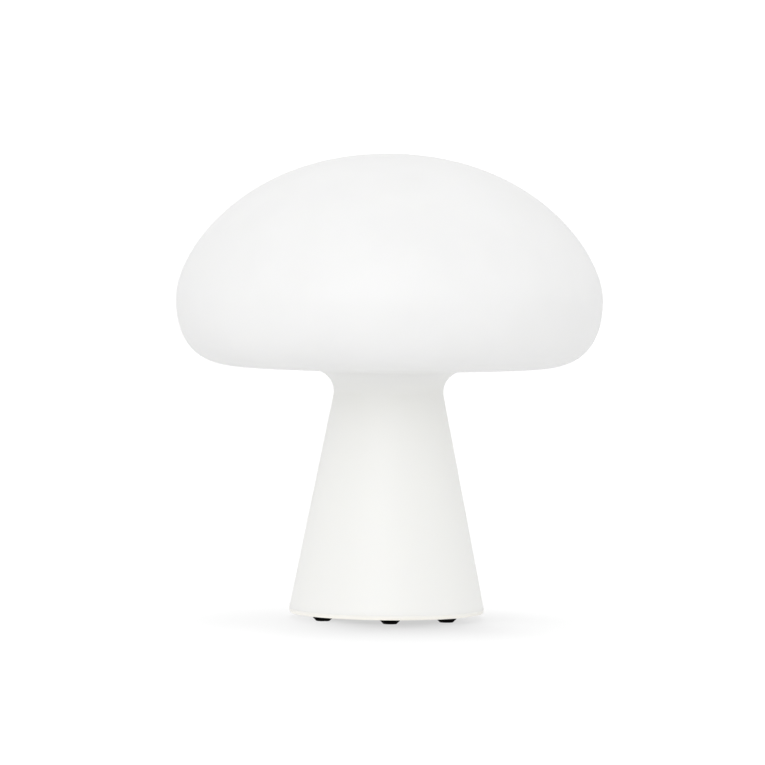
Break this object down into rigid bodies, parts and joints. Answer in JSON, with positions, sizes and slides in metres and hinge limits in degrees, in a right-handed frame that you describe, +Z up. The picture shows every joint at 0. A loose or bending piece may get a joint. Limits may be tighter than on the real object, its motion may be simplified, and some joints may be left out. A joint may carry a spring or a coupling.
{
  "type": "mushroom table lamp",
  "caption": "Cordless mushroom table lamp: one-piece opal glass cap and conical stem on a cream base with rubber feet; push button and charging socket beneath, LED light and battery inside.",
  "frame": {"origin": "on the table under the middle of the lamp, level with the bottoms of the feet", "axes": "+Z up; -Y is the front, which faces the viewer; +X to the right of the front"},
  "size_m": [0.22, 0.22, 0.239],
  "materials": {
    "opal_glass": "satin etched opal",
    "clear_silicone": "translucent",
    "cream_plastic": "semi-gloss",
    "white_plastic": "fine spark texture",
    "frosted_plastic": "frosted",
    "clear_plastic": "clear",
    "black_rubber": "matte",
    "grey_rubber": "matte",
    "plated_steel": "zinc plated",
    "nickel": "nickel plated",
    "cast_aluminium": "turned",
    "green_laminate": "solder mask",
    "white_laminate": "solder mask",
    "black_moulding": "moulded",
    "tan_ceramic": "fired",
    "led_phosphor": "phosphor coated",
    "cell_wrap": "shrink film",
    "red_insulation": "smooth",
    "black_insulation": "smooth"
  },
  "bodies": {
    "lamp": {"ballast_ring": "plated_steel", "base_plate": "cream_plastic", "battery_cell_1": "cell_wrap", "battery_cell_2": "cell_wrap", "battery_lead_negative": "black_insulation", "battery_lead_positive": "red_insulation", "board_chips": "black_moulding", "board_screws": "plated_steel", "capacitors": "tan_ceramic", "cell_holder_lower": "black_moulding", "cell_holder_upper": "black_moulding", "cell_strip_lower": "nickel", "cell_strip_upper": "nickel", "charging_socket_shell": "nickel", "charging_socket_tongue": "black_moulding", "chassis": "white_plastic", "chassis_screws": "plated_steel", "clamp_collar": "grey_rubber", "clamp_ring": "plated_steel", "clamp_screws": "plated_steel", "column_screws": "plated_steel", "control_board": "green_laminate", "foot_1": "black_rubber", "foot_2": "black_rubber", "foot_3": "black_rubber", "foot_4": "black_rubber", "foot_5": "black_rubber", "foot_6": "black_rubber", "foot_7": "black_rubber", "glass_body": "opal_glass", "heat_sink": "cast_aluminium", "heat_sink_screws": "plated_steel", "indicator_led": "led_phosphor", "indicator_light_pipe": "clear_plastic", "inductor": "black_moulding", "led_board": "white_laminate", "led_board_screws": "plated_steel", "led_chips": "led_phosphor", "led_diffuser": "frosted_plastic", "led_lead_negative": "black_insulation", "led_lead_positive": "red_insulation", "light_column": "white_plastic", "rim_gasket": "clear_silicone", "switch_body": "black_moulding"},
    "power_button": {"power_button": "white_plastic"},
    "switch_plunger": {"switch_plunger": "black_moulding"}
  },
  "joints": [
    {"name": "power_button_press", "type": "slide", "parent": "lamp", "child": "power_button", "axis": [0, 0, 1], "range_m": [0, 0.0005], "stiffness_N_per_m": 1600},
    {"name": "switch_plunger_press", "type": "slide", "parent": "lamp", "child": "switch_plunger", "axis": [0, 0, 1], "range_m": [0, 0.0005]}
  ],
  "couplings": [
    {"joint": "switch_plunger_press", "follows": "power_button_press", "ratio": 1}
  ]
}
